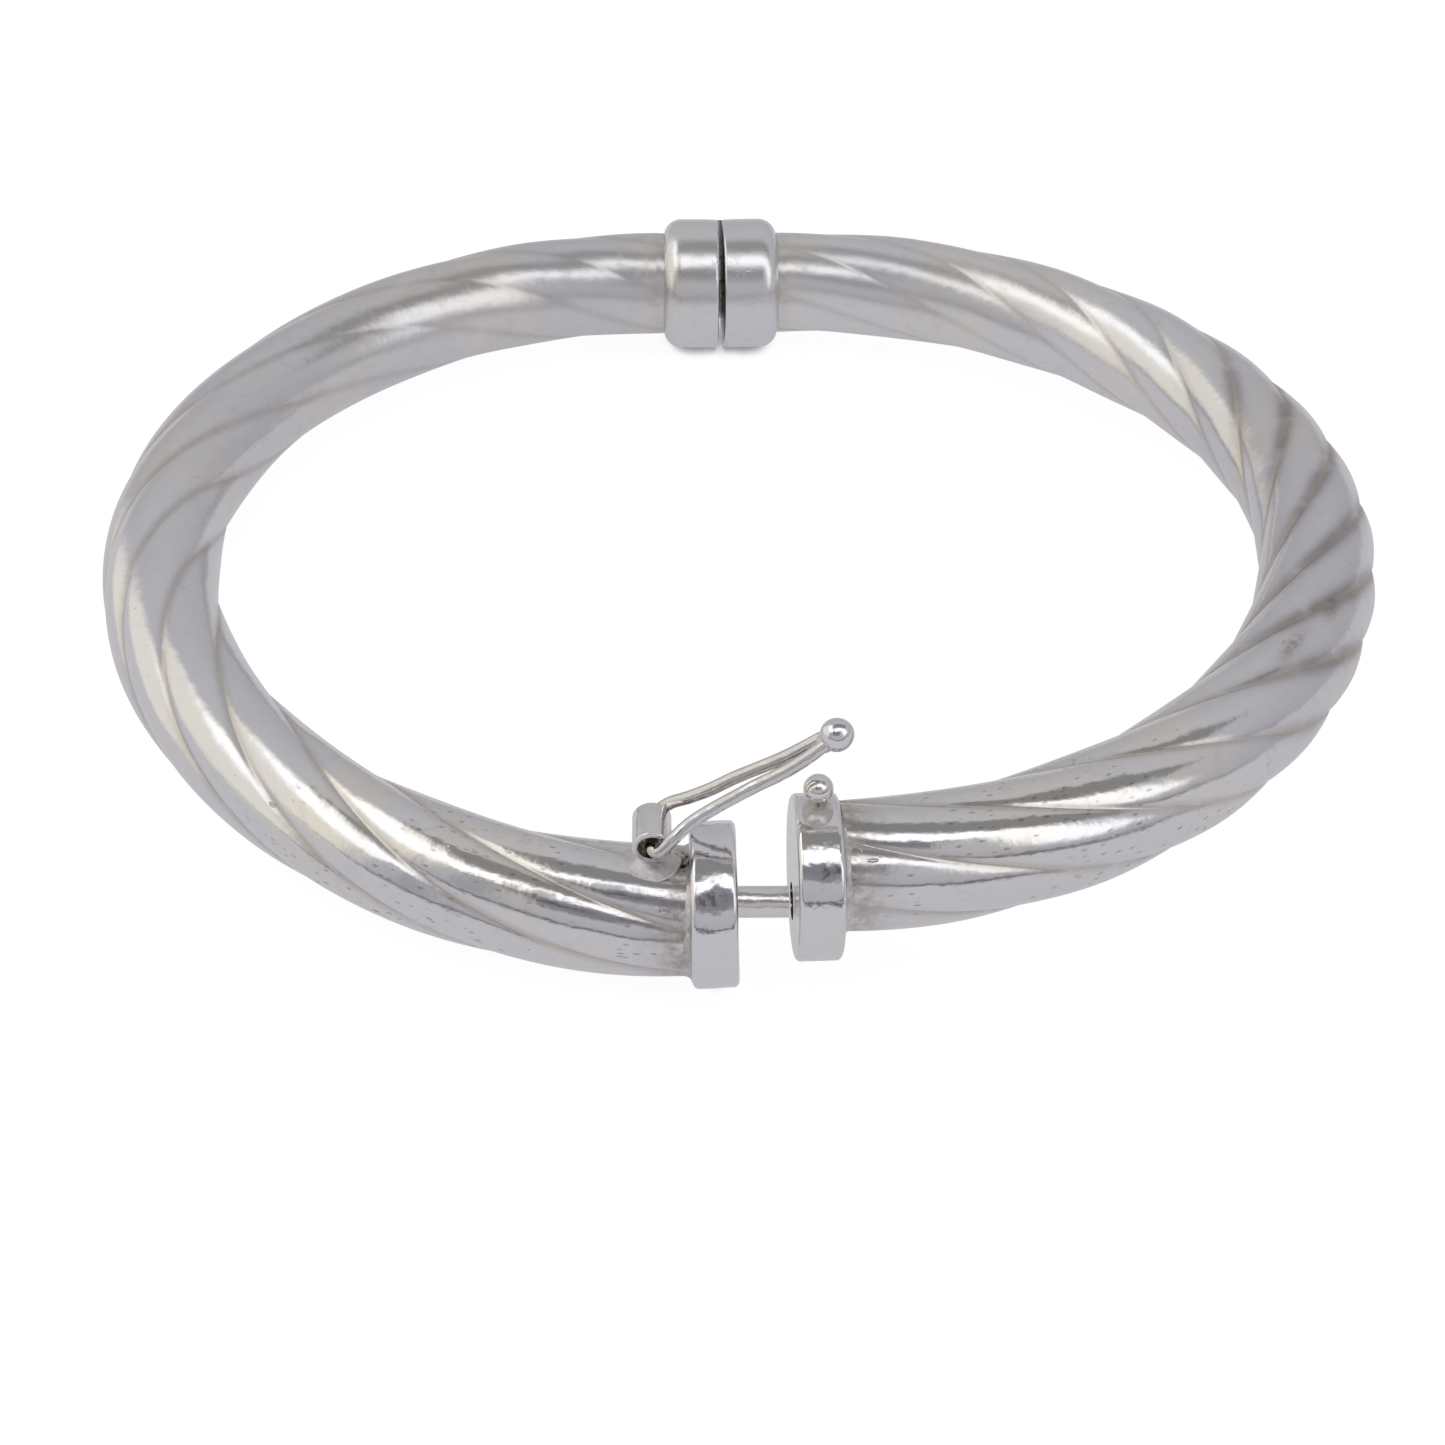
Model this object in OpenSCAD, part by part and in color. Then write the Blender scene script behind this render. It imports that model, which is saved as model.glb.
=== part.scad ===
// Hinged oval twist bangle with a figure-eight safety catch, lying flat, slightly open.
// Every length is in millimetres. +X runs to the wearer's right, +Y to the hinge, +Z up.
// The left half is the fixed half. The right half turns on the hinge pin.

/* [Oval] */
// sideways reach of each half's curve, on the tube's centreline
oval_half_w = 28.9; // [24:0.1:34]
// half the distance from clasp to hinge, on the tube's centreline
oval_half_l = 29.34; // [24:0.1:34]
// egg shape: positive pushes the widest point toward the hinge
oval_egg = 0.33; // [0:0.01:1.5]
// straight run of tube next to the clasp, from the mating plane
clasp_lead = 2.4; // [1.5:0.1:5]
// straight run of tube next to the hinge, from the mating plane
hinge_lead = 4.0; // [3:0.1:6]

/* [Tube] */
// tube radius over the crests of the lobes
crest_r = 3.25; // [2.5:0.05:4]
// depth of the creases between the lobes
crease_d = 0.22; // [0.1:0.01:0.8]
// number of lobes round the tube
lobes = 6; // [4:1:10]
// roundness of a lobe, lower is fuller
lobe_power = 1; // [0.5:0.05:1.5]
// radius of the hollow inside the tube
hollow_r = 2.4; // [1.5:0.05:3]
// twist of the left half, degrees over its length
twist_left = 656; // [300:1:900]
// twist of the right half, degrees over its length
twist_right = 714; // [300:1:900]

/* [Pose] */
// how far the right half stands open from closed, degrees
open_deg = 2.19; // [0:0.01:50]
// how far the sprung right half rises toward the clasp, degrees
rise_deg = 2.75; // [0:0.05:4]

/* [Clasp] */
// radius of the two end discs
disc_r = 4.08; // [3.5:0.02:5]
// thickness of the two end discs
disc_t = 2.25; // [1:0.05:3]
// edge rounding of the discs
disc_edge = 0.28; // [0.05:0.01:0.6]
// gap between the disc faces when closed
closed_gap = 0.3; // [0.1:0.05:1]
// height of the left disc's centre over its tube's axis
disc_up_left = 0.5; // [-1:0.05:1]
// height of the right disc's centre over its tube's axis
disc_up_right = -0.65; // [-1:0.05:1]
// radius of the tongue rod
rod_r = 0.78; // [0.4:0.01:1.2]
// height of the tongue rod over the left tube's axis
rod_z = 0.62; // [0:0.01:1.5]
// length of rod standing out of the left disc
rod_out = 2.5; // [1.5:0.05:5]
// radius of the tongue hole in the right disc
rod_hole_r = 0.95; // [0.5:0.01:1.5]

/* [Safety catch] */
// radius of the catch's hinge barrel
barrel_r = 0.95; // [0.6:0.01:1.4]
// radius of the bore through the barrel
barrel_bore_r = 0.66; // [0.3:0.01:1]
// length of the barrel
barrel_len = 2.3; // [1.5:0.1:4]
// radius of the catch wire
wire_r = 0.33; // [0.2:0.01:0.5]
// radius of the ball on the catch's tip
tip_ball_r = 0.82; // [0.5:0.01:1.2]
// radius of the stud's ball on the right disc
stud_ball_r = 0.74; // [0.5:0.01:1.2]

/* [Hinge] */
// radius of the two hinge collars
collar_r = 4.15; // [3.6:0.05:5]
// length of one collar, shoulder included
collar_len = 3.55; // [2.5:0.05:5]
// length of a collar's rounded shoulder
shoulder = 1.1; // [0.5:0.05:2]
// gap between the collars when closed
collar_gap = 0.12; // [0.1:0.01:1]
// radius of the hinge knuckles
knuckle_r = 1.15; // [0.8:0.01:1.5]
// radius of the hinge pin
pin_r = 0.5; // [0.3:0.01:0.8]
// half the height of the hinge pin
pin_half = 2.75; // [2:0.05:3]

/* [Hidden] */
// the row's origin, seen from the middle of the hinge on the tube's axis
origin_at = [0.77, -29.49, -4.15];
hinge_y = collar_r - knuckle_r - 0.1;
clasp_y = -2 * oval_half_l - 0.18;
fit_gap = 0.05;
knuckle_gap = 0.1;
knuckle_relief = knuckle_r + 0.15;
mid_knuckle_half = 0.85;
plate_t = 0.5;
bore_r = crest_r + 0.05;
tube_in = 1.4;
along = 62;
per_lobe = 6;
around = lobes * per_lobe;
inner_along = 36;
inner_around = 20;
half_len = 97.9;
waves_left = [[-6.4, -9.8], [6.4, 5.9], [-3.8, 3.6]];
waves_right = [[24, 1.7], [0.9, -0.2]];
catch_y = -58.0;
barrel_at = [-4.3, catch_y, 4.45];
stud_at = [3.62, catch_y, 7.25];
silver = [0.82, 0.82, 0.84];
bright = [0.86, 0.86, 0.88];
eps = 0.01;

// ---- the oval's centreline, u from 0 at the clasp to 180 at the hinge
function mid_x(u) = clasp_lead + (hinge_lead - clasp_lead) * u / 180
    + oval_half_w * sin(u) - oval_egg * sin(2 * u) - 0.1 * sin(3 * u);
function mid_y(u) = -oval_half_l * (1 + cos(u)) - 0.09 * (cos(3 * u) + 1);
function step_u(i, n) = 180 * i / n;
// the last station runs straight on into the hinge collar
function station(i, n) = i < n ? [mid_x(step_u(i, n - 1)), mid_y(step_u(i, n - 1))]
    : [tube_in, 0];
function run(i, n) = i == 0 ? clasp_lead : run(i - 1, n) + norm(station(i, n) - station(i - 1, n));
// unit direction along the tube; both ends point straight along X
function heading(i, n) = i == 0 ? [1, 0] : i >= n - 1 ? [-1, 0]
    : let(d = station(i + 1, n) - station(i - 1, n)) d / norm(d);

// ---- the twist: an even turn with slow waves, where the hand that twisted it sped up or slowed
function wave(t, waves, k = 0) = k == len(waves) ? 0 : waves[k][0] * sin(360 * (k + 1) * t)
    + waves[k][1] * cos(360 * (k + 1) * t) + wave(t, waves, k + 1);
function crease_left(s) = 9.8 + twist_left * s / half_len + wave(s / half_len, waves_left);
function crease_right(s) = 76 - twist_right * s / half_len + wave(s / half_len, waves_right);
function lobe_r(a) = crest_r - crease_d + crease_d * pow(abs(sin(a * lobes / 2)), lobe_power);

// one point of a section; side is 1 for the right half, -1 for the left
function section_pt(p, d, side, a, r) = let(outward = [-d[1], d[0]] * -1)
    [side * (p[0] + r * cos(a) * outward[0]), p[1] + r * cos(a) * outward[1], r * sin(a)];

module skin(n, m, pts) {
    walls = [for (i = [0:n - 1], j = [0:m - 1])
        each [[i * m + j, i * m + (j + 1) % m, (i + 1) * m + (j + 1) % m],
              [i * m + j, (i + 1) * m + (j + 1) % m, (i + 1) * m + j]]];
    caps = [[for (j = [m - 1:-1:0]) j], [for (j = [0:m - 1]) n * m + j]];
    polyhedron(points = pts, faces = concat(walls, caps), convexity = 10);
}

module twisted_tube(side) {
    outer = [for (i = [0:along])
        let(p = station(i, along), d = heading(i, along), s = run(i, along),
            a0 = side > 0 ? crease_right(s) : crease_left(s))
        for (j = [0:around - 1])
        let(a = side * 360 * j / around) section_pt(p, d, side, a0 + a, lobe_r(a))];
    inner = [for (i = [0:inner_along])
        let(p = station(i, inner_along), d = heading(i, inner_along),
            over = i == 0 ? -0.5 : i == inner_along ? 0.5 : 0)
        for (j = [0:inner_around - 1])
        section_pt(p + over * d, d, side, side * 360 * j / inner_around, hollow_r)];
    difference() {
        skin(along, around, outer);
        skin(inner_along, inner_around, inner);
    }
}

// ---- placing
module about_x() {
    rotate([0, 90, 0]) children();
}

module in_row() {
    translate(-origin_at) children();
}

module swung_open() {
    in_row() translate([0, hinge_y, 0]) rotate([0, 0, open_deg])
        translate([0, -hinge_y, 0]) children();
}

module raised() {
    rotate([-rise_deg, 0, 0]) children();
}

// ---- shared shapes
module end_disc(side, up) {
    translate([side * closed_gap / 2, clasp_y, up]) rotate([0, side * 90, 0])
        rotate_extrude($fn = 96) disc_profile();
}

module disc_profile() {
    difference() {
        square([disc_r, disc_t]);
        translate([disc_r - disc_edge, 0]) edge_cut(disc_edge);
        translate([disc_r - disc_edge, disc_t]) mirror([0, 1]) edge_cut(disc_edge);
    }
}

module edge_cut(r) {
    difference() {
        translate([0, -eps]) square([r + eps, r + eps]);
        translate([0, r]) circle(r = r, $fn = 48);
    }
}

module collar_ring(side) {
    difference() {
        translate([side * collar_gap / 2, 0, 0]) rotate([0, side * 90, 0])
            rotate_extrude($fn = 96) collar_profile();
        knuckle_room(-collar_r, collar_r);
    }
}

module collar_profile() {
    difference() {
        translate([bore_r, 0]) square([collar_r - bore_r, collar_len]);
        translate([collar_r - shoulder, collar_len - shoulder]) difference() {
            square([shoulder + eps, shoulder + eps]);
            circle(r = shoulder, $fn = 64);
        }
        translate([collar_r - 0.2, 0]) edge_cut(0.2);
    }
}

// space the knuckles turn in, between two heights
module knuckle_room(low, high) {
    translate([0, hinge_y, low]) cylinder(r = knuckle_relief, h = high - low, $fn = 64);
    translate([-knuckle_relief, hinge_y, low])
        cube([2 * knuckle_relief, collar_r, high - low]);
}

module knuckle(low, high) {
    intersection() {
        translate([0, hinge_y, low]) cylinder(r = knuckle_r, h = high - low, $fn = 64);
        about_x() cylinder(r = collar_r - 0.05, h = 6, center = true, $fn = 96);
    }
}

module end_plate(side) {
    translate([side * collar_gap / 2, 0, 0]) rotate([0, side * 90, 0])
        cylinder(r = bore_r, h = plate_t, $fn = 96);
}

// ---- left half
module left_half_tube() {
    color(silver) in_row() twisted_tube(-1);
}

module left_hinge_collar() {
    color(bright) in_row() collar_ring(-1);
}

module left_hinge_leaf() {
    color(silver) in_row() difference() {
        union() {
            difference() {
                end_plate(-1);
                knuckle_room(-mid_knuckle_half - knuckle_gap, mid_knuckle_half + knuckle_gap);
            }
            knuckle(mid_knuckle_half + knuckle_gap, collar_r);
            knuckle(-collar_r, -mid_knuckle_half - knuckle_gap);
        }
        translate([0, hinge_y, 0]) cylinder(r = pin_r, h = 8, center = true, $fn = 48);
    }
}

module hinge_pin() {
    color(bright) in_row() translate([0, hinge_y, 0])
        cylinder(r = pin_r, h = 2 * pin_half, center = true, $fn = 48);
}

module left_clasp_disc() {
    color(bright) in_row() end_disc(-1, disc_up_left);
}

module tongue_rod() {
    color(bright) in_row() translate([-closed_gap / 2, clasp_y, rod_z]) about_x()
        cylinder(r = rod_r, h = rod_out, $fn = 48);
}

module catch_barrel() {
    color(bright) in_row() translate(barrel_at) rotate([90, 0, 0]) difference() {
        cylinder(r = barrel_r, h = barrel_len, center = true, $fn = 64);
        cylinder(r = barrel_bore_r, h = barrel_len + 1, center = true, $fn = 48);
    }
}

// ---- right half
module right_half_tube() {
    color(silver) swung_open() raised() twisted_tube(1);
}

module right_hinge_collar() {
    color(bright) swung_open() collar_ring(1);
}

module right_hinge_leaf() {
    color(silver) swung_open() difference() {
        union() {
            difference() {
                end_plate(1);
                knuckle_room(mid_knuckle_half, collar_r);
                knuckle_room(-collar_r, -mid_knuckle_half);
            }
            knuckle(-mid_knuckle_half, mid_knuckle_half);
        }
        translate([0, hinge_y, 0]) cylinder(r = pin_r + fit_gap, h = 8, center = true, $fn = 48);
    }
}

module right_clasp_disc() {
    color(bright) swung_open() difference() {
        raised() end_disc(1, disc_up_right);
        translate([0, clasp_y, rod_z]) about_x() cylinder(r = rod_hole_r, h = 4, $fn = 48);
    }
}

module catch_stud() {
    color(bright) in_row() difference() {
        union() {
            translate(stud_at) sphere(r = stud_ball_r, $fn = 48);
            translate(stud_at - [0, 0, 2.2]) cylinder(r = 0.55, h = 2.2, $fn = 48);
        }
        in_row_undone() swung_open() raised() end_disc(1, disc_up_right);
    }
}

module in_row_undone() {
    translate(origin_at) children();
}

// ---- safety catch: one hairpin of wire, in the catch's own plane from the barrel's axis
// each stop is [out along the legs, half the spread, up]
leg_stops = [[0, 0.35, 0], [0, 1.1, 0], [0.35, 1.5, 0.1], [0.95, 1.35, 0.72], [1.8, 0.95, 1.42],
    [2.87, 0.74, 2.15], [3.91, 0.68, 2.87], [4.99, 0.58, 3.55], [5.8, 0.54, 4.02],
    [6.6, 0.48, 4.55], [7.3, 0.42, 5.1], [7.9, 0.34, 5.62]];
nose = [[8.35, 0.2, 6.0], [8.5, 0, 6.12], [8.35, -0.2, 6.0]];
ball_at = [8.66, 0, 6.14];
wire_around = 14;

module catch_frame() {
    in_row() translate(barrel_at) children();
}

function other_leg() = [for (i = [len(leg_stops) - 1:-1:0])
    [leg_stops[i][0], -leg_stops[i][1], leg_stops[i][2]]];
function unit(v) = v / norm(v);
// a smooth path through the stops
function eased(p, i, f) = let(n = len(p) - 1, a = p[max(i - 1, 0)], b = p[i],
    c = p[min(i + 1, n)], d = p[min(i + 2, n)])
    0.5 * (2 * b + (c - a) * f + (2 * a - 5 * b + 4 * c - d) * f * f
    + (3 * b - 3 * c + d - a) * f * f * f);

module catch_loop() {
    stops = concat(leg_stops, nose, other_leg());
    path = [for (i = [0:len(stops) - 2]) for (f = [0, 0.5]) eased(stops, i, f),
        stops[len(stops) - 1]];
    last = len(path) - 1;
    pts = [for (i = [0:last])
        let(t = unit(path[min(i + 1, last)] - path[max(i - 1, 0)]),
            m = unit(cross(t, [-0.58, 0, 0.81])), k = cross(m, t))
        for (j = [0:wire_around - 1])
        path[i] + wire_r * (cos(360 * j / wire_around) * m + sin(360 * j / wire_around) * k)];
    color(bright) catch_frame() skin(last, wire_around, pts);
}

module catch_tip_ball() {
    color(bright) catch_frame() translate(ball_at) sphere(r = tip_ball_r, $fn = 48);
}

left_half_tube();
left_hinge_collar();
left_hinge_leaf();
hinge_pin();
left_clasp_disc();
tongue_rod();
catch_barrel();
right_half_tube();
right_hinge_collar();
right_hinge_leaf();
right_clasp_disc();
catch_stud();
catch_loop();
catch_tip_ball();
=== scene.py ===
"""The looks of a hinged oval twist bangle with a wire safety catch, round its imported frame."""
import bmesh
import bpy
import numpy as np
from mathutils import Matrix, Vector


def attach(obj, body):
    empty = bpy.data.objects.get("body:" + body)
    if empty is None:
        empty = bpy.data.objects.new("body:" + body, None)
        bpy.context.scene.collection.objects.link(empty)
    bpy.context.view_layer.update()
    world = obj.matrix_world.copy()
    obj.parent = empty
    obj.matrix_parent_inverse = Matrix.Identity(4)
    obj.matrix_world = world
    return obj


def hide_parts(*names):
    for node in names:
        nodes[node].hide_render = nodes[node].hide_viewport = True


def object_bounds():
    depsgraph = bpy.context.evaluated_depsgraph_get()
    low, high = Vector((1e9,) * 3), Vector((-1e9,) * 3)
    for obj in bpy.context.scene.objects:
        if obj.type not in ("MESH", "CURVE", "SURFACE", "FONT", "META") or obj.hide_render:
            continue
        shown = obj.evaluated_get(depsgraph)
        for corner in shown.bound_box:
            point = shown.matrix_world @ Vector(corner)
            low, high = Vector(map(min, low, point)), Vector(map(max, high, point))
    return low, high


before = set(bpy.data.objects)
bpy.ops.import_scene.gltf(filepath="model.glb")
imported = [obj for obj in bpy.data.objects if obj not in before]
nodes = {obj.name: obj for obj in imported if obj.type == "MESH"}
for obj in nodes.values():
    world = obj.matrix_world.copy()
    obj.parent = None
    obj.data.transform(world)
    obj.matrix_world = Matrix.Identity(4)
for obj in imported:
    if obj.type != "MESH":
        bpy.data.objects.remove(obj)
cad_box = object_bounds()

# Lengths are in millimetres until mesh_piece() turns them into metres in the row frame. Like the
# CAD, the work frame starts at the middle of the hinge on the tubes' axis. Angles are in degrees.
ORIGIN = np.array([0.77, -29.49, -4.15])
LEFT, RIGHT = -1, 1
SIDE = {LEFT: "left", RIGHT: "right"}
BODY = {LEFT: "left_half", RIGHT: "right_half"}
# how far the right half stands open, and how far it rises toward the clasp
OPEN, RISE = 2.19, 2.75
HINGE_Y = 2.9
CLASP_Y = -58.86
# the oval of a tube's middle line, and how far its ends stand from X = 0
OVAL_W, OVAL_L, EGG = 28.9, 29.34, 0.33
CLASP_LEAD, HINGE_LEAD = 2.4, 4.0
TUBE_END_X = 1.4
# the length over which a half is twisted
HALF_LEN = 97.9
# the lobes: crest radius, depth and shape of a crease, depth and half-width of the line cut in it
LOBES = 6
LOBE_TURN = 360 / LOBES
CREST_R, CREASE_D, LOBE_POWER = 3.25, 0.2, 1.1
NARROW_D, NARROW = 0.05, 4.0
# how soft the creases are by the hinge, and where along the tube they soften
WORN = {LEFT: 0.75, RIGHT: 0.5}
WORN_FROM, WORN_TO = 44, 82
# the twist: where it starts, its total turn, and its waves
TWIST = {LEFT: (9.8, 656, ((-6.4, -9.8), (6.4, 5.9), (-3.8, 3.6))),
         RIGHT: (76, -714, ((24, 1.7), (0.9, -0.2)))}
# the end discs, and how high they sit on their tubes' axes
DISC_R, DISC_T, DISC_FACE, DISC_EDGE = 4.08, 2.25, 0.15, 0.28
DISC_LEAN = 1.8
DISC_UP = {LEFT: 0.5, RIGHT: -0.65}
# a hinge collar's outer end is half the hinge's gap and a collar's length from the middle
HALF_GAP, COLLAR_LEN = 0.06, 3.55
COLLAR_END = HALF_GAP + COLLAR_LEN
# the safety catch
BARREL_AT = np.array([-4.3, -58.0, 4.45])
BARREL_LEN, BARREL_R, BORE_R = 2.3, 0.95, 0.66
WIRE_R = 0.325
TIP_BALL_AT, TIP_BALL_R = [8.66, 0, 6.14], 0.81
STUD_AT = np.array([3.62, -58.0, 7.25])
STUD_BALL_R = 0.72


def sin(deg):
    return np.sin(np.radians(deg))


def cos(deg):
    return np.cos(np.radians(deg))


def wrapped(deg):
    """An angle between -180 and 180."""
    return (deg + 180) % 360 - 180


def from_crease(a):
    """How far angle a is from the nearest crease."""
    return np.abs((a + LOBE_TURN / 2) % LOBE_TURN - LOBE_TURN / 2)


def eased(x, low, high):
    """0 below low, 1 above high, smooth between."""
    t = np.clip((x - low) / (high - low), 0, 1)
    return t * t * (3 - 2 * t)


def turn_x(p, deg):
    """Points turned about the X axis."""
    x, y, z = np.moveaxis(p, -1, 0)
    return np.stack([x, cos(deg) * y - sin(deg) * z, sin(deg) * y + cos(deg) * z], -1)


def turn_z(p, deg, about_y):
    """Points turned about an upright axis through [0, about_y]."""
    x, y, z = np.moveaxis(p, -1, 0)
    y = y - about_y
    return np.stack([cos(deg) * x - sin(deg) * y, sin(deg) * x + cos(deg) * y + about_y, z], -1)


def opened(p):
    """Swung about the hinge pin, as far as the right half stands open."""
    return turn_z(p, OPEN, HINGE_Y)


def placed(p, side):
    """A point of a half where it lies: the sprung right half stands raised and a little open."""
    return p if side == LEFT else opened(turn_x(p, -RISE))


def in_catch(p):
    """A point of the catch's own plane, measured from the barrel's axis."""
    return np.asarray(p, float) + BARREL_AT


def wobble(p, per_mm, seed, waves=14):
    """Smooth seeded unevenness of about -1 to 1, as handwork leaves it."""
    rng = np.random.default_rng(seed)
    total = np.zeros(np.shape(p)[:-1])
    for _ in range(waves):
        way = rng.normal(size=3)
        way *= per_mm * rng.uniform(0.5, 1.4) * 2 * np.pi / np.linalg.norm(way)
        total += np.sin(p @ way + rng.uniform(0, 6.28))
    return total / np.sqrt(waves)


def grid_faces(rows, cols, caps):
    """The faces of a stack of rings, with a lid at each end if caps."""
    faces = []
    for i in range(rows - 1):
        for j in range(cols):
            k = (j + 1) % cols
            faces.append((i * cols + j, i * cols + k, (i + 1) * cols + k, (i + 1) * cols + j))
    if caps:
        faces.append(tuple(range(cols)))
        faces.append(tuple((rows - 1) * cols + j for j in range(cols)))
    return faces


def mesh_piece(name, points, material, body, stands_for=(), marks=None, caps=True):
    """A smooth closed skin over rings of points, riding on a body. marks are values for the shading."""
    rows, cols = points.shape[:2]
    mesh = bpy.data.meshes.new(name)
    mesh.from_pydata(((points - ORIGIN) / 1000).reshape(-1, 3).tolist(), [], grid_faces(rows, cols, caps))
    for key, values in (marks or {}).items():
        kind, field = ("FLOAT_VECTOR", "vector") if values.ndim == 3 else ("FLOAT", "value")
        layer = mesh.attributes.new(key, kind, "POINT")
        layer.data.foreach_set(field, values.astype(np.float32).ravel())
    bm = bmesh.new()
    bm.from_mesh(mesh)
    bmesh.ops.recalc_face_normals(bm, faces=bm.faces)
    bm.to_mesh(mesh)
    bm.free()
    mesh.polygons.foreach_set("use_smooth", [len(p.vertices) == 4 for p in mesh.polygons])
    mesh.materials.append(material)
    obj = bpy.data.objects.new(name, mesh)
    bpy.context.scene.collection.objects.link(obj)
    if stands_for:
        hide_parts(*stands_for)
    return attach(obj, body)


# ---- shading, built from small helpers
class Nodes:
    """Adds and joins the nodes of one tree."""

    def __init__(self, tree):
        self.tree = tree
        tree.nodes.clear()

    def add(self, kind, inputs=(), **settings):
        node = self.tree.nodes.new(kind)
        for key, value in settings.items():
            setattr(node, key, value)
        for key, value in dict(inputs).items():
            self.feed(node.inputs[key], value)
        return node

    def feed(self, socket, value):
        if isinstance(value, bpy.types.NodeSocket):
            self.tree.links.new(value, socket)
        else:
            socket.default_value = value

    def math(self, operation, *values):
        return self.add("ShaderNodeMath", dict(enumerate(values)), operation=operation).outputs[0]

    def step(self, value, low, high):
        """0 below low, 1 above high, smooth between."""
        inputs = {"Value": value, "From Min": low, "From Max": high}
        return self.add("ShaderNodeMapRange", inputs, interpolation_type="SMOOTHSTEP").outputs["Result"]

    def between(self, value, low, high, soft):
        """1 from low to high, with soft edges."""
        up = self.step(value, low - soft, low + soft)
        down = self.step(value, high + soft, high - soft)
        return self.math("MULTIPLY", up, down)

    def mix(self, factor, a, b):
        node = self.add("ShaderNodeMix", data_type="RGBA")
        self.feed(node.inputs[0], factor)
        for socket, value in ((node.inputs[6], a), (node.inputs[7], b)):
            self.feed(socket, value if isinstance(value, bpy.types.NodeSocket) else (*value, 1))
        return node.outputs[2]

    def scaled(self, vector, scale):
        return self.add("ShaderNodeVectorMath", {0: vector, 1: scale}, operation="MULTIPLY").outputs[0]

    def noise(self, vector, scale, detail=2.0, rough=0.5):
        inputs = {"Vector": vector, "Scale": scale, "Detail": detail, "Roughness": rough}
        return self.add("ShaderNodeTexNoise", inputs).outputs["Fac"]

    def mark(self, name):
        return self.add("ShaderNodeAttribute", attribute_name=name).outputs["Fac"]


def nicks(n, place, per_mm, size, keep, shape):
    """Scattered small dents, 1 inside a dent. keep is the share of cells with one, shape squeezes them."""
    at = n.scaled(place, tuple(per_mm * s for s in shape))
    cell = n.add("ShaderNodeTexVoronoi", {"Vector": at, "Scale": 1.0, "Randomness": 1.0})
    inside = n.step(cell.outputs["Distance"], size, size * 0.35)
    lot = n.add("ShaderNodeSeparateColor", {0: cell.outputs["Color"]}).outputs[0]
    return n.math("MULTIPLY", inside, n.math("LESS_THAN", lot, keep))


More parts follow.
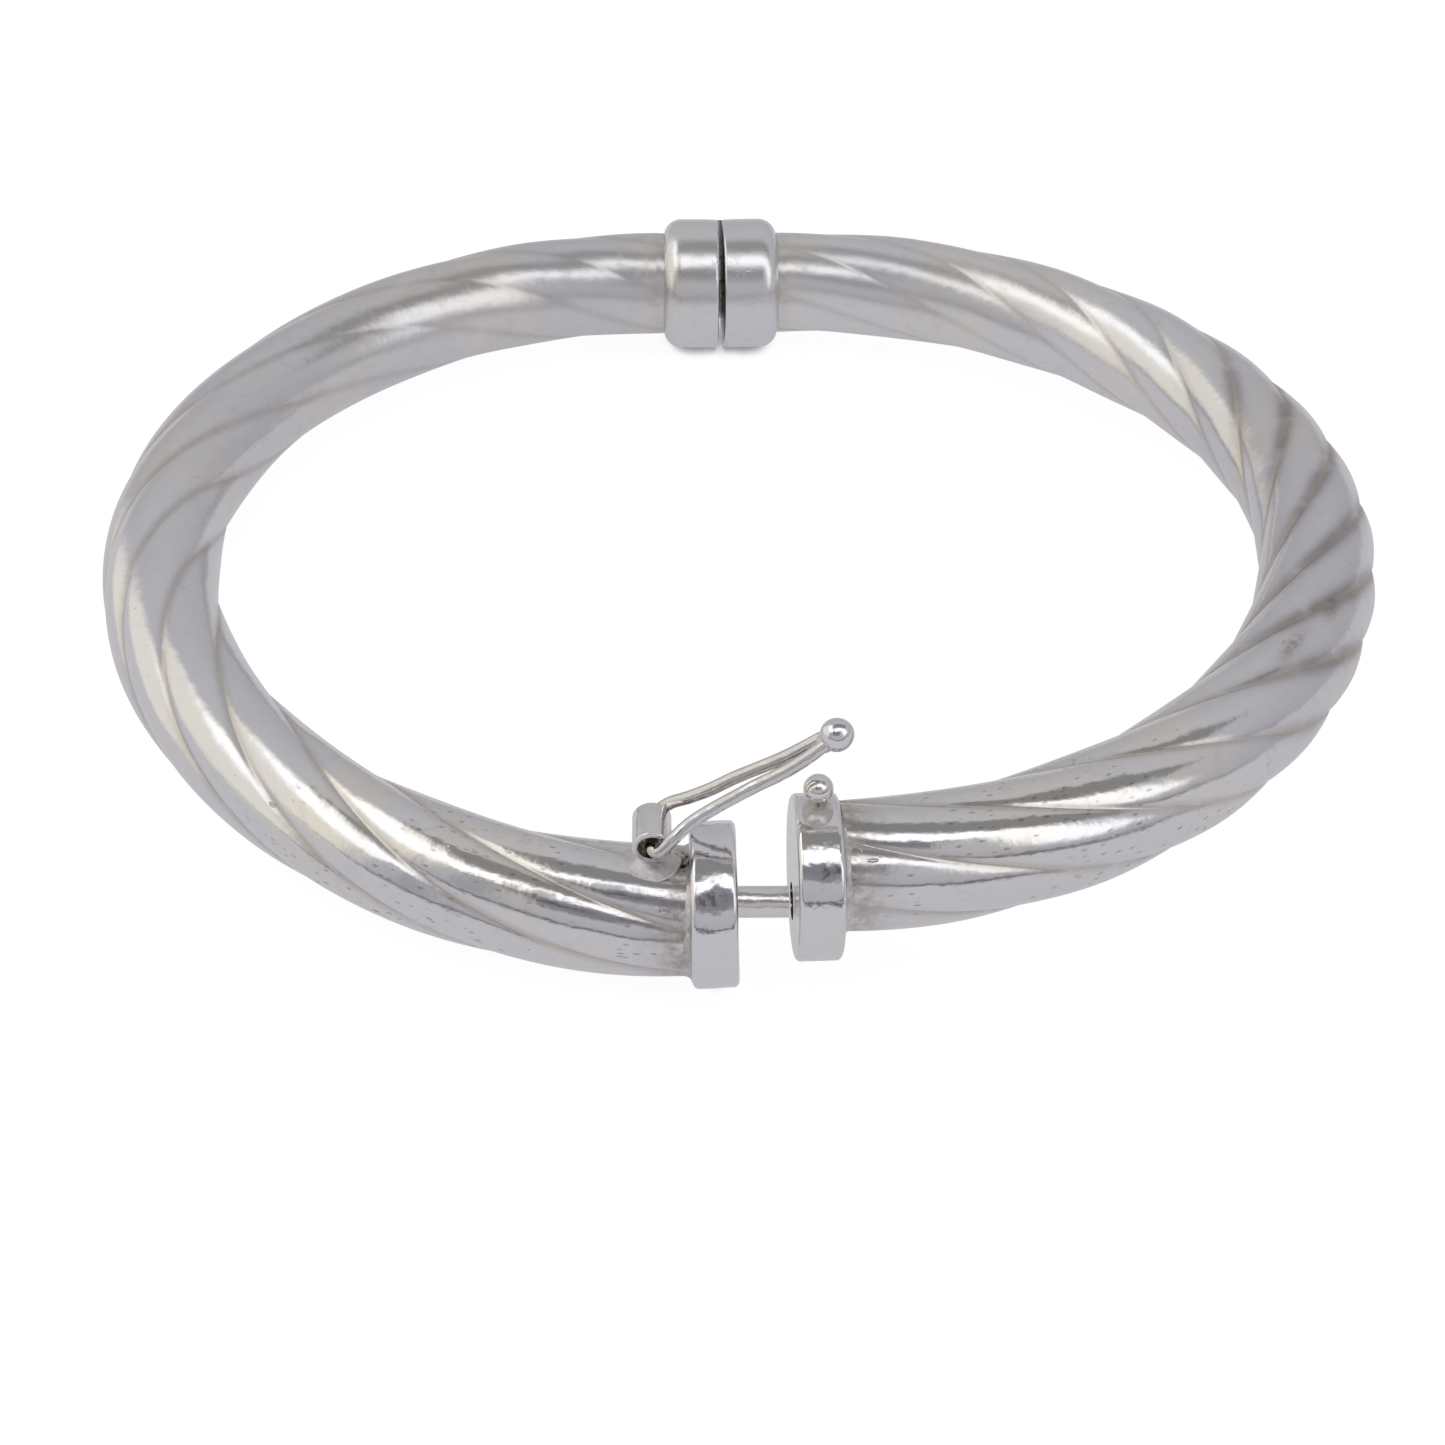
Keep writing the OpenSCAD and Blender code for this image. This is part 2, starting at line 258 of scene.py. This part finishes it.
def silver(name, tone, dull, tube=False, wear=1.0, ripple=1.0, ragged=1.0, specks=1.0):
    """Worn silver: a cool base with warm clouds, dull specks, fine scratches and nicks, and brown tarnish
    under the tarnish mark, which on the catch's barrel and wire is painted shade instead. tone is its
    brightness and dull its least roughness. wear is for scratches and nicks, ripple for slow waves and
    ragged for quick ones. tube lays the pattern along a bent tube, adds its grooves and its grey bloom,
    and dulls it toward the hinge."""
    material = bpy.data.materials.new(name)
    material.use_nodes = True
    n = Nodes(material.node_tree)
    if tube:
        place = n.add("ShaderNodeAttribute", attribute_name="straight").outputs["Vector"]
    else:
        place = n.scaled(n.add("ShaderNodeTexCoord").outputs["Object"], (1000, 1000, 1000))
    # colour: warm clouds over a cool base, then specks
    cloud = n.step(n.noise(place, 0.16, 3), 0.42, 0.68)
    colour = n.mix(cloud, (tone * 0.99, tone * 0.985, tone * 1.02), (tone * 1.02, tone * 0.99, tone * 0.95))
    film = n.step(n.noise(place, 1.1, 5, 0.65), 0.52, 0.72)
    colour = n.mix(n.math("MULTIPLY", film, 0.28), colour, (tone * 0.8, tone * 0.79, tone * 0.8))
    dots = n.step(n.noise(place, 5.5, 3, 0.7), 0.66, 0.74)
    colour = n.mix(n.math("MULTIPLY", dots, 0.35 * specks), colour, (tone * 0.55, tone * 0.54, tone * 0.56))
    # nicks and scratches
    dents = nicks(n, place, 0.55, 0.1, 0.5, (0.55, 1.5, 1.5))
    pits = nicks(n, place, 0.9, 0.075, 0.35, (1.2, 1, 1.1))
    hair = n.noise(n.scaled(place, (0.5, 9, 9)), 1.2, 4, 0.7)
    cross = n.noise(n.scaled(place, (9, 0.8, 3)), 0.9, 3, 0.7)
    marks = n.math("MAXIMUM", dents, pits)
    if tube:
        away = n.add("ShaderNodeSeparateXYZ", {0: place}).outputs[0]
        marks = n.math("MULTIPLY", marks, n.step(away, 70, 40))
        rubbed = n.math("MULTIPLY", n.step(n.noise(place, 0.22, 2), 0.46, 0.56), n.step(away, 30, 18))
        dashes = n.math("MULTIPLY", nicks(n, place, 2.6, 0.3, 0.85, (0.5, 1.2, 1.2)), rubbed)
        colour = n.mix(n.math("MULTIPLY", dashes, 0.55), colour, (0.22, 0.22, 0.23))
    colour = n.mix(n.math("MULTIPLY", marks, 0.5 * wear), colour, (0.3, 0.29, 0.3))
    # tarnish in the grooves and wherever it is marked; on the catch's barrel and wire the same mark is
    # painted shade
    tarnish_and_shade = n.mark("tarnish_and_shade")
    spread = n.math("MULTIPLY", tarnish_and_shade, n.step(n.noise(place, 2.4, 5, 0.7), 0.25, 0.62))
    colour = n.mix(spread, colour, (0.28, 0.205, 0.13))
    colour = n.mix(n.step(spread, 0.72, 0.98), colour, (0.07, 0.04, 0.02))
    rough = n.math("ADD", dull, n.math("MULTIPLY", spread, 0.3))
    if tube:
        bloom = n.math("MULTIPLY", n.mark("bloom"), n.step(n.noise(place, 0.5, 3), 0.1, 0.55))
        colour = n.mix(bloom, colour, (0.25, 0.215, 0.22))
        line = n.math("MULTIPLY", n.mark("groove"), n.step(n.noise(place, 0.7, 3), 0.15, 0.5))
        colour = n.mix(n.math("MULTIPLY", line, 0.6), colour, (0.56, 0.51, 0.45))
        rough = n.math("ADD", rough, n.math("MULTIPLY", line, 0.2))
        rough = n.math("ADD", rough, n.math("MULTIPLY", n.step(away, 6, 42), 0.07))
        rough = n.math("ADD", rough, n.math("MULTIPLY", n.step(away, 46, 88), 0.15))
    rough = n.math("ADD", rough, n.math("MULTIPLY", film, 0.1))
    rough = n.math("ADD", rough, n.math("MULTIPLY", marks, 0.15))
    # relief, in metres
    swell = n.noise(place, 0.38, 1.5)
    if tube:
        swell = n.math("MULTIPLY", swell, n.step(away, 74, 40))
    slow = n.add("ShaderNodeBump", {"Strength": 0.35 * ripple, "Distance": 0.0004, "Height": swell})
    quick = n.add("ShaderNodeBump", {"Strength": ragged, "Distance": 0.00004,
                                     "Height": n.noise(place, 1.25, 2), "Normal": slow.outputs[0]})
    grain = n.math("ADD", n.math("MULTIPLY", hair, 0.6), n.math("MULTIPLY", cross, 0.4))
    scratched = n.add("ShaderNodeBump", {"Strength": 0.12 * wear, "Distance": 0.00004, "Height": grain,
                                         "Normal": quick.outputs[0]})
    nicked = n.add("ShaderNodeBump", {"Strength": 0.5 * wear, "Distance": 0.00005, "Height": marks,
                                      "Normal": scratched.outputs[0]}, invert=True)
    shader = n.add("ShaderNodeBsdfPrincipled", {"Base Color": colour, "Metallic": 1.0, "Roughness": rough,
                                                "Normal": nicked.outputs[0]})
    n.add("ShaderNodeOutputMaterial", {"Surface": shader.outputs[0]})
    material.diffuse_color = (tone, tone, tone, 1)
    return material


TWISTED = silver("twisted_silver", 0.8, 0.09, tube=True, ripple=0.45, ragged=0.55)
POLISHED = silver("polished_silver", 0.82, 0.08, wear=0.8, ripple=0.7, ragged=0.9)
SATIN = silver("satin_silver", 0.8, 0.26, wear=0.2, ripple=0.4, ragged=0.3, specks=0.1)
WIRE = silver("silver_wire", 0.74, 0.06, wear=0.5, ripple=0.9, ragged=1.6)
SOLDER = silver("rough_solder", 0.78, 0.32, wear=0.3, ripple=1.2, ragged=1.8)
CREAM = silver("fillet_solder", 0.8, 0.36, wear=0.15, ripple=0.8, ragged=1.2)
ROD = silver("worn_rod_silver", 0.82, 0.2, wear=1.4, ripple=1.4, ragged=1.6)
STUD_SILVER = silver("stud_silver", 0.82, 0.1, wear=0.8, ripple=1.2, ragged=1.4)


# ---- the twisted half tubes
def middle(u):
    """The tube's middle line, u from 0 at the clasp to 180 at the hinge."""
    lead = CLASP_LEAD + (HINGE_LEAD - CLASP_LEAD) * u / 180
    x = lead + OVAL_W * sin(u) - EGG * sin(2 * u) - 0.1 * sin(3 * u)
    return np.stack([x, -OVAL_L * (1 + cos(u)) - 0.09 * (cos(3 * u) + 1)], -1)


def crease_at(s, side):
    """The twist: an even turn with slow waves, where the hand that twisted it sped up or slowed."""
    t = s / HALF_LEN
    start, total, waves = TWIST[side]
    return start + total * t + sum(p * sin(360 * k * t) + q * cos(360 * k * t)
                                   for k, (p, q) in enumerate(waves, 1))


def lobe_r(a, worn=0.0):
    """Radius at angle a from a crease; worn is how far the crease is softened, 0 to 1."""
    fall = CREASE_D * (1 - np.abs(sin(LOBES / 2 * a)) ** (LOBE_POWER + 0.7 * worn)) * (1 - 0.7 * worn)
    return CREST_R - fall - NARROW_D * np.exp(-(from_crease(a) / NARROW) ** 2) * (1 - worn)


def run_of(stations):
    """Points, directions and lengths along a half's middle, from the clasp to inside the collar."""
    p = np.vstack([middle(np.linspace(0, 180, stations)), [[TUBE_END_X, 0]]])
    d = np.gradient(p, axis=0)
    d /= np.linalg.norm(d, axis=1)[:, None]
    d[0], d[-2:] = [1, 0], [-1, 0]
    s = CLASP_LEAD + np.concatenate([[0], np.cumsum(np.linalg.norm(np.diff(p, axis=0), axis=1))])
    return p, d, s


def ring_points(side, p, d, a, r):
    """Points at angle a and radius r round the middle line, a from 0 on the outside to 90 on top."""
    out = np.stack([d[:, 1], -d[:, 0]], -1)
    x = side * (p[:, None, 0] + r * cos(a) * out[:, None, 0])
    return np.stack([x, p[:, None, 1] + r * cos(a) * out[:, None, 1], r * sin(a)], -1)


def half_tube(side, stations=460, per_lobe=22):
    """One half's twisted tube, with its rings' points closest together by the creases."""
    p, d, s = run_of(stations)
    share = np.linspace(0, 1, per_lobe, endpoint=False)
    share = share - 0.1 * np.sin(2 * np.pi * share)
    a = (LOBE_TURN * (np.arange(LOBES)[:, None] + share)).ravel()
    angle = crease_at(s, side)[:, None] + side * a[None]
    worn = WORN[side] * eased(s, WORN_FROM, WORN_TO)[:, None]
    r = lobe_r(a[None], worn)
    points = ring_points(side, p, d, angle, r)
    points = points + 0.012 * wobble(points, 0.12, 5 + side)[..., None]
    off = from_crease(a)
    groove = np.exp(-(off / 5.0) ** 2) * (1 - worn)
    straight = np.stack([np.broadcast_to(s[:, None], angle.shape), r * cos(angle), r * sin(angle)], -1)
    points = placed(points, side)
    mesh_piece(SIDE[side] + "_tube_skin", points, TWISTED, BODY[side],
               [SIDE[side] + "_half_tube"],
               {"straight": straight, "groove": groove, "tarnish_and_shade": stains(side, s, angle),
                "bloom": blooms(side, s, angle, off)})


def stains(side, s, angle):
    """Brown tarnish: round the soldered ends and in a few spots."""
    s = s[:, None]
    around = wrapped(angle)
    tarnish_and_shade = 0.6 * np.exp(-((s - CLASP_LEAD) / 1.5) ** 2) + 0.2 * np.exp(-((s - 94.6) / 0.9) ** 2)
    if side == LEFT:
        tarnish_and_shade = tarnish_and_shade + 1.6 * np.exp(-((s - 2.95) / 0.4) ** 2 - ((around - 92) / 10) ** 2)
    else:
        for at, up, long, wide in ((35.5, 66, 1.0, 7), (31.0, 78, 1.3, 6)):
            tarnish_and_shade = tarnish_and_shade + 0.75 * np.exp(-((s - at) / long) ** 2 - ((around - up) / wide) ** 2)
    return np.clip(tarnish_and_shade, 0, 1)


def blooms(side, s, angle, off):
    """Grey-brown bloom along the grooves, strongest on the right half's bend."""
    s = s[:, None]
    if side == LEFT:
        return 0.12 * np.exp(-(off / 6) ** 2) * eased(s, 14, 40) + 0.1 * eased(s, 45, 60)
    top = np.exp(-(wrapped(angle - 62) / 85) ** 4)
    bend = eased(s, 22, 34) * (1 - eased(s, 56, 68))
    return (0.1 + 0.8 * np.exp(-(off / 10) ** 2) * top) * bend


for half in (LEFT, RIGHT):
    half_tube(half)


# ---- solder fillets where a tube meets its disc and its collar
def disc_edge(side, a):
    """How far the disc's edge is from the tube's axis, at angle a round the tube."""
    up = DISC_UP[side]
    return up * sin(a) + np.sqrt(DISC_R ** 2 - (up * cos(a)) ** 2)


def round_the_tube(rows, side, y, a):
    """Rings of points from rows of [along X, radius], round an axis at y, a from 0 in front."""
    return np.array([np.stack([side * q[:, 0], y - q[:, 1] * cos(a), q[:, 1] * sin(a)], -1) for q in rows])


def disc_fillet(side):
    """A ring of solder, hollow-sided and uneven, that climbs the disc's back from the tube."""
    a = np.arange(0, 360, 2.5)
    lobe = lobe_r(side * (a - crease_at(CLASP_LEAD, side)))
    in_disc = CLASP_LEAD - 0.02
    base = np.stack([np.zeros_like(a), 3 * cos(a), 3 * sin(a)], -1)
    uneven = wobble(base, 0.28, 31 + side) * 0.35
    sunk, bare_rim = 0.05, 0.22
    high = np.minimum(0.5 + 0.2 * uneven, disc_edge(side, a) - lobe - bare_rim)
    wide = 0.75 + 0.35 * uneven
    rows = []
    for t in np.linspace(0, 1, 9):
        r = lobe - sunk + (high + sunk) * t ** 2
        x = in_disc + wide * (1 - t) ** 2
        rows.append(np.stack([x, r], -1))
    rows.append(np.stack([x + 0.01, lobe - 0.3], -1))
    rows.append(rows[0])
    points = round_the_tube(rows, side, CLASP_Y, a)
    points += 0.02 * wobble(points, 0.9, 41 + side)[..., None]
    tarnish_and_shade = np.clip(0.75 - 0.4 * np.linspace(0, 1, len(rows))[:, None] + 0.5 * uneven[None], 0, 1) * 0.6
    if side == LEFT:
        burnt = 1.6 * np.exp(-((a - 94) / 9) ** 2)[None] * np.linspace(1, 0.5, len(rows))[:, None]
        tarnish_and_shade = np.maximum(tarnish_and_shade, burnt)
    mesh_piece(SIDE[side] + "_disc_solder", placed(points, side), CREAM, BODY[side],
               marks={"tarnish_and_shade": tarnish_and_shade}, caps=False)


def collar_fillet(side):
    """A ring of solder from the tube up onto the collar's shoulder."""
    a = np.arange(0, 360, 3.0)
    uneven = wobble(np.stack([a * 0, 3 * cos(a), 3 * sin(a)], -1), 0.25, 51 + side) * 0.3
    high, wide = 0.62 + 0.1 * uneven, 0.95 + 0.25 * uneven
    in_collar, in_tube = COLLAR_END - 0.2, 2.98
    rows = [np.stack([in_collar + wide * (1 - t) ** 2, in_tube + high * t ** 2], -1)
            for t in np.linspace(0, 1, 8)]
    rows.append(np.stack([a * 0 + COLLAR_END - 0.3, a * 0 + 2.9], -1))
    rows.append(rows[0])
    points = round_the_tube(rows, side, 0, a)
    tarnish_and_shade = np.full(points.shape[:2], 0.3)
    moved = points if side == LEFT else opened(points)
    mesh_piece(SIDE[side] + "_collar_solder", moved, SOLDER, BODY[side],
               marks={"tarnish_and_shade": tarnish_and_shade}, caps=False)


for half in (LEFT, RIGHT):
    disc_fillet(half)
    collar_fillet(half)


# ---- the safety catch: barrel, hairpin of wire, balls and their solder
def lathe(profile, steps, axis_from, along, across, uneven, seed):
    """profile is [along the axis, radius]; along and across are the axis and the zero direction."""
    along, across = np.array(along, float), np.array(across, float)
    third = np.cross(along, across)
    a = np.arange(steps) * 360 / steps
    prof = np.asarray(profile, float)
    ring = cos(a)[:, None] * across + sin(a)[:, None] * third
    points = np.asarray(axis_from) + prof[:, None, :1] * along + prof[:, None, 1:] * ring[None]
    return points + uneven * wobble(points, 0.45, seed)[..., None] * ring[None]


def rounded_tube(length, outer, inner, edge):
    """Profile of a short tube with rounded ends, outside then inside."""
    q = np.linspace(0, 90, 6)
    h = length / 2
    end = [(h - edge + edge * sin(t), outer - edge + edge * cos(t)) for t in q]
    small = edge * 0.6
    back = [(h - small + small * cos(t), inner + small - small * sin(t)) for t in q]
    return end + back + [(-x, r) for x, r in reversed(end + back)]


def barrel():
    """A short piece of tube, with painted shade inside its bore."""
    loop = rounded_tube(BARREL_LEN, BARREL_R, BORE_R, 0.1)
    points = lathe(loop + loop[:1], 72, BARREL_AT, (0, -1, 0), (1, 0, 0), 0.012, 61)
    # painted shade: the bore is darkened through the tarnish mark
    inside = np.linalg.norm((points - BARREL_AT) * [1, 0, 1], axis=-1) < 0.75
    mesh_piece("catch_barrel_skin", points, POLISHED, "left_half", ["catch_barrel"],
               {"tarnish_and_shade": 0.72 * inside}, caps=False)


def ball(name, at, radius, material, body, uneven, per_mm, seed, stands_for=(), squash=(1, 1, 1),
         tarnish_and_shade=0.0):
    """An uneven ball. squash is its radii as shares of radius, and per_mm how close its bumps are."""
    lat = np.linspace(-89, 89, 40)
    a = np.arange(64) * 360 / 64
    unit = np.stack([cos(lat)[:, None] * cos(a), cos(lat)[:, None] * sin(a),
                     np.broadcast_to(sin(lat)[:, None], (40, 64))], -1)
    points = np.asarray(at) + unit * np.asarray(squash) * radius
    points = points + unit * uneven * wobble(points, per_mm, seed)[..., None]
    marks = {"tarnish_and_shade": np.full(points.shape[:2], tarnish_and_shade)}
    return mesh_piece(name, points, material, body, stands_for, marks)


# the far leg and the nose of the hairpin, each stop [out along the legs, half the spread, up]
LEG = [[0, 0.35, 0], [0, 1.1, 0], [0.35, 1.5, 0.1], [0.95, 1.35, 0.72], [1.8, 0.95, 1.42],
       [2.87, 0.74, 2.15], [3.91, 0.68, 2.87], [4.99, 0.58, 3.55], [5.8, 0.54, 4.02],
       [6.6, 0.48, 4.55], [7.3, 0.42, 5.1], [7.9, 0.34, 5.62]]
NOSE = [[8.35, 0.2, 6.0], [8.5, 0, 6.12], [8.35, -0.2, 6.0]]


def smooth_path(stops, per_stop):
    """An even curve through the stops."""
    p = np.asarray(stops, float)
    p = np.vstack([p[0], p, p[-1]])
    f = np.linspace(0, 1, per_stop, endpoint=False)[:, None]
    path = []
    for a, b, c, d in zip(p[:-3], p[1:-2], p[2:-1], p[3:]):
        path.append(0.5 * (2 * b + (c - a) * f + (2 * a - 5 * b + 4 * c - d) * f ** 2
                           + (3 * b - 3 * c + d - a) * f ** 3))
    return np.vstack(path + [p[-1:]])


def catch_wire():
    """One hairpin of round wire, with painted shade on the sides of its legs that face each other and where
    it runs through the barrel.
    """
    path = smooth_path(LEG + NOSE + [[x, -y, z] for x, y, z in reversed(LEG)], 9)
    t = np.gradient(path, axis=0)
    t /= np.linalg.norm(t, axis=1)[:, None]
    legs_normal = [-0.58, 0, 0.81]
    m = np.cross(t, legs_normal)
    m /= np.linalg.norm(m, axis=1)[:, None]
    k = np.cross(m, t)
    a = np.arange(28) * 360 / 28
    radius = WIRE_R + 0.006 * wobble(path, 0.35, 71)[:, None]
    ring = cos(a)[None, :, None] * m[:, None] + sin(a)[None, :, None] * k[:, None]
    points = path[:, None] + radius[..., None] * ring
    # painted shade: darker where the wire lies in the barrel's bore and on the sides of the legs that face
    # each other
    painted_shade_in_barrel = np.exp(-(path[:, :1] / 0.9) ** 2)
    inside = np.clip(cos(a) - 0.8 * sin(a), 0, 1)[None] ** 2
    tarnish_and_shade = np.clip(0.3 * painted_shade_in_barrel + 0.55 * inside, 0, 1)
    mesh_piece("catch_loop_skin", in_catch(points), WIRE, "safety_catch", ["catch_loop"],
               {"tarnish_and_shade": tarnish_and_shade})


barrel()
catch_wire()
ball("catch_tip_ball_skin", in_catch(TIP_BALL_AT), TIP_BALL_R, POLISHED, "safety_catch",
     uneven=0.02, per_mm=0.6, seed=81, stands_for=["catch_tip_ball"])
ball("catch_tip_solder", in_catch([8.1, 0, 5.72]), 0.5, SOLDER, "safety_catch",
     squash=(0.95, 1.1, 0.9), uneven=0.05, per_mm=0.7, seed=82, tarnish_and_shade=0.15)


def barrel_solder():
    """A mound of solder, hollow-sided, between the left tube and the barrel on it."""
    t = np.linspace(0.03, 1, 18)[:, None]
    a = np.arange(60)[None] * 6.0
    long, wide, high, sunk = 1.45, 1.6, 0.62, 0.06
    x, y = BARREL_AT[0] + long * t * cos(a), BARREL_AT[1] - 0.4 + wide * t * sin(a)
    z = np.sqrt(CREST_R ** 2 - (y - CLASP_Y) ** 2) - sunk + high * (1 - t) ** 1.7
    points = np.stack([x, y, z], -1)
    points = points + 0.035 * wobble(points, 0.5, 83)[..., None] * [0, 0, 1]
    inside_the_tube = 1.9
    under = points[-1:] * [1, 1, 0] + [0, 0, inside_the_tube]
    points = np.vstack([points, under])
    mesh_piece("barrel_solder", points, CREAM, "left_half",
               marks={"tarnish_and_shade": np.full(points.shape[:2], 0.3)})


barrel_solder()


def left_disc():
    """The left disc, hand-filed and soldered on leaning a little out at its foot."""
    q = np.linspace(0, 90, 6)
    rim = DISC_R - DISC_EDGE
    face = [(0, r) for r in (0.02, 1.2, 2.4, 3.2)]
    near = [(DISC_EDGE * (1 - cos(t)), rim + DISC_EDGE * sin(t)) for t in q]
    band = [(x, DISC_R) for x in np.linspace(DISC_EDGE, DISC_T - DISC_EDGE, 9)[1:-1]]
    profile = face + near + band + [(DISC_T - x, r) for x, r in reversed(face + near)]
    points = lathe(profile, 180, (-DISC_FACE, CLASP_Y, DISC_UP[LEFT]),
                   (-cos(DISC_LEAN), 0, -sin(DISC_LEAN)), (0, 1, 0), 0.03, 95)
    points[..., 0] += 0.03 * wobble(points * [0.2, 1, 1], 0.2, 96)
    mesh_piece("left_clasp_disc_skin", points, POLISHED, "left_half", ["left_clasp_disc"],
               {"tarnish_and_shade": np.zeros(points.shape[:2])})


left_disc()


def stud():
    """A ball on a short neck that stands in a lumpy puddle of solder on the disc's rim."""
    profile = [(STUD_BALL_R * sin(t), STUD_BALL_R * cos(t)) for t in np.linspace(89, -48, 26)]
    profile += [(-0.68, 0.46), (-0.85, 0.45), (-1.1, 0.52), (-1.5, 0.55)]
    points = lathe(profile, 64, STUD_AT, (0, 0, 1), (1, 0, 0), 0.012, 91)
    mesh_piece("catch_stud_skin", points, STUD_SILVER, "right_half", ["catch_stud"],
               {"tarnish_and_shade": np.where(points[..., 2] < STUD_AT[2] - 0.6, 0.35, 0.0)})
    puddle_at, puddle_r = [3.6, -58.35, 5.95], 1.0
    ball("stud_solder", puddle_at, puddle_r, SOLDER, "right_half",
         squash=(0.98, 1.08, 0.62), uneven=0.12, per_mm=0.5, seed=92, tarnish_and_shade=0.35)


stud()

# ---- the CAD pieces that stay, with their finishes
for name, material in (("left_hinge_collar", SATIN), ("right_hinge_collar", SATIN),
                       ("left_hinge_leaf", SATIN), ("right_hinge_leaf", SATIN), ("hinge_pin", SATIN),
                       ("right_clasp_disc", POLISHED), ("tongue_rod", ROD)):
    for slot in nodes[name].material_slots:
        slot.material = material


# ---- studio: white to look at, with a soft grey room and two windows for the silver to reflect
def studio():
    """The surroundings, patch over patch. Their places are in degrees: around from the back through the
    right, sweep from the front over the top to the back, height above the floor, side to the right."""
    world = bpy.data.worlds.new("studio")
    world.use_nodes = True
    n = Nodes(world.node_tree)
    way = n.add("ShaderNodeTexCoord").outputs["Generated"]
    x, y, z = n.add("ShaderNodeSeparateXYZ", {0: way}).outputs
    degrees = 57.2958
    height = n.math("MULTIPLY", n.math("ARCSINE", z), degrees)
    around = n.math("MULTIPLY", n.math("ARCTAN2", x, y), degrees)
    sweep = n.math("MULTIPLY", n.math("ARCTAN2", z, n.math("MULTIPLY", y, -1.0)), degrees)
    side = n.math("MULTIPLY", n.math("ARCSINE", x), degrees)
    room = n.mix(n.step(height, 0.0, 60.0), (0.475, 0.47, 0.49), (0.56, 0.555, 0.565))

    def lay(room, a, a0, a1, b, b0, b1, soft, colour, share=1.0):
        """A patch from a0 to a1 and from b0 to b1, with soft edges, over the room so far."""
        patch = n.math("MULTIPLY", n.between(a, a0, a1, soft), n.between(b, b0, b1, soft))
        return n.mix(n.math("MULTIPLY", patch, share), room, colour)

    # overhead: a dim strip of ceiling, then a bright strip toward the front
    room = lay(room, sweep, 84, 113, side, -20, 45, 2.0, (0.27, 0.268, 0.264))
    room = lay(room, sweep, 62, 80, side, -55, 40, 1.5, (1.5, 1.5, 1.5))
    # a soft, blotchy dark patch in front, and two grey ones left of it
    blotch = n.step(n.noise(way, 5.0, 3), 0.35, 0.6)
    dark = n.mix(blotch, (0.09, 0.07, 0.08), (0.27, 0.265, 0.29))
    room = lay(room, sweep, 37, 60, side, -24, 16, 2.5, dark)
    room = lay(room, around, -158, -134, height, 52, 72, 6, (0.3, 0.3, 0.32), 0.8)
    room = lay(room, around, -140, -130, height, 10, 52, 3, (0.33, 0.33, 0.35), 0.7)
    # the left window, cream below and white above
    room = lay(room, around, -118, -44, height, -8, 63, 5, (0.88, 0.845, 0.76))
    room = lay(room, around, -116, -52, height, 42, 64, 6, (1.35, 1.35, 1.33))
    # the narrower right window
    room = lay(room, around, 104, 138, height, 20, 60, 6, (1.25, 1.25, 1.25))
    # a dark line low in front, as a table's edge makes
    room = lay(room, height, 1.5, 6.5, y, -1.5, -0.3, 0.6, (0.1, 0.1, 0.11), 0.9)
    seen = n.add("ShaderNodeLightPath").outputs["Is Camera Ray"]
    colour = n.mix(seen, room, (1, 1, 1))
    back = n.add("ShaderNodeBackground", {"Color": colour, "Strength": 1.0})
    n.add("ShaderNodeOutputWorld", {"Surface": back.outputs[0]})
    bpy.context.scene.world = world


def floor():
    """A pale floor, white to the camera and soft grey in reflections, with a painted shadow only where a
    piece touches it.
    """
    mesh = bpy.data.meshes.new("floor")
    just_below = 0.00002
    low = cad_box[0][2] - just_below
    w = 1.5
    contact = 0.0012
    mesh.from_pydata([(-w, -w, low), (w, -w, low), (w, w, low), (-w, w, low)], [], [(0, 1, 2, 3)])
    material = bpy.data.materials.new("pale_floor")
    material.use_nodes = True
    n = Nodes(material.node_tree)
    seen = n.add("ShaderNodeLightPath").outputs["Is Camera Ray"]
    # painted shadow: the white seen by the camera is darkened where the floor lies close under a piece
    painted_shadow_ao = n.add("ShaderNodeAmbientOcclusion", {"Distance": contact}, samples=8).outputs["AO"]
    white = n.mix(n.step(painted_shadow_ao, 0.05, 0.4), (0.12, 0.12, 0.12), (0.9, 0.9, 0.9))
    glow = n.add("ShaderNodeEmission", {"Color": n.mix(seen, (0.465, 0.46, 0.475), white)})
    matt = n.add("ShaderNodeBsdfDiffuse", {"Color": (0.22, 0.22, 0.225, 1)})
    both = n.add("ShaderNodeAddShader", {0: glow.outputs[0], 1: matt.outputs[0]})
    n.add("ShaderNodeOutputMaterial", {"Surface": both.outputs[0]})
    mesh.materials.append(material)
    obj = bpy.data.objects.new("floor", mesh)
    bpy.context.scene.collection.objects.link(obj)


def camera():
    """Above and in front, at the photograph's angle."""
    data = bpy.data.cameras.new("camera")
    data.lens, data.sensor_width = 66.6, 36.0
    data.clip_start = 0.005
    obj = bpy.data.objects.new("camera", data)
    right, up = (0.99973947, -0.01854242, 0.0133104), (0.00184614, 0.64692409, 0.76255217)
    forward = (0.02275038, 0.76232893, -0.64678978)
    at = (-0.0045909, -0.1231352, 0.0958001)
    obj.matrix_world = Matrix([[right[i], up[i], -forward[i], at[i]] for i in range(3)] + [[0, 0, 0, 1]])
    bpy.context.scene.collection.objects.link(obj)
    bpy.context.scene.camera = obj


studio()
floor()
camera()
bpy.context.scene.view_settings.view_transform = "Standard"
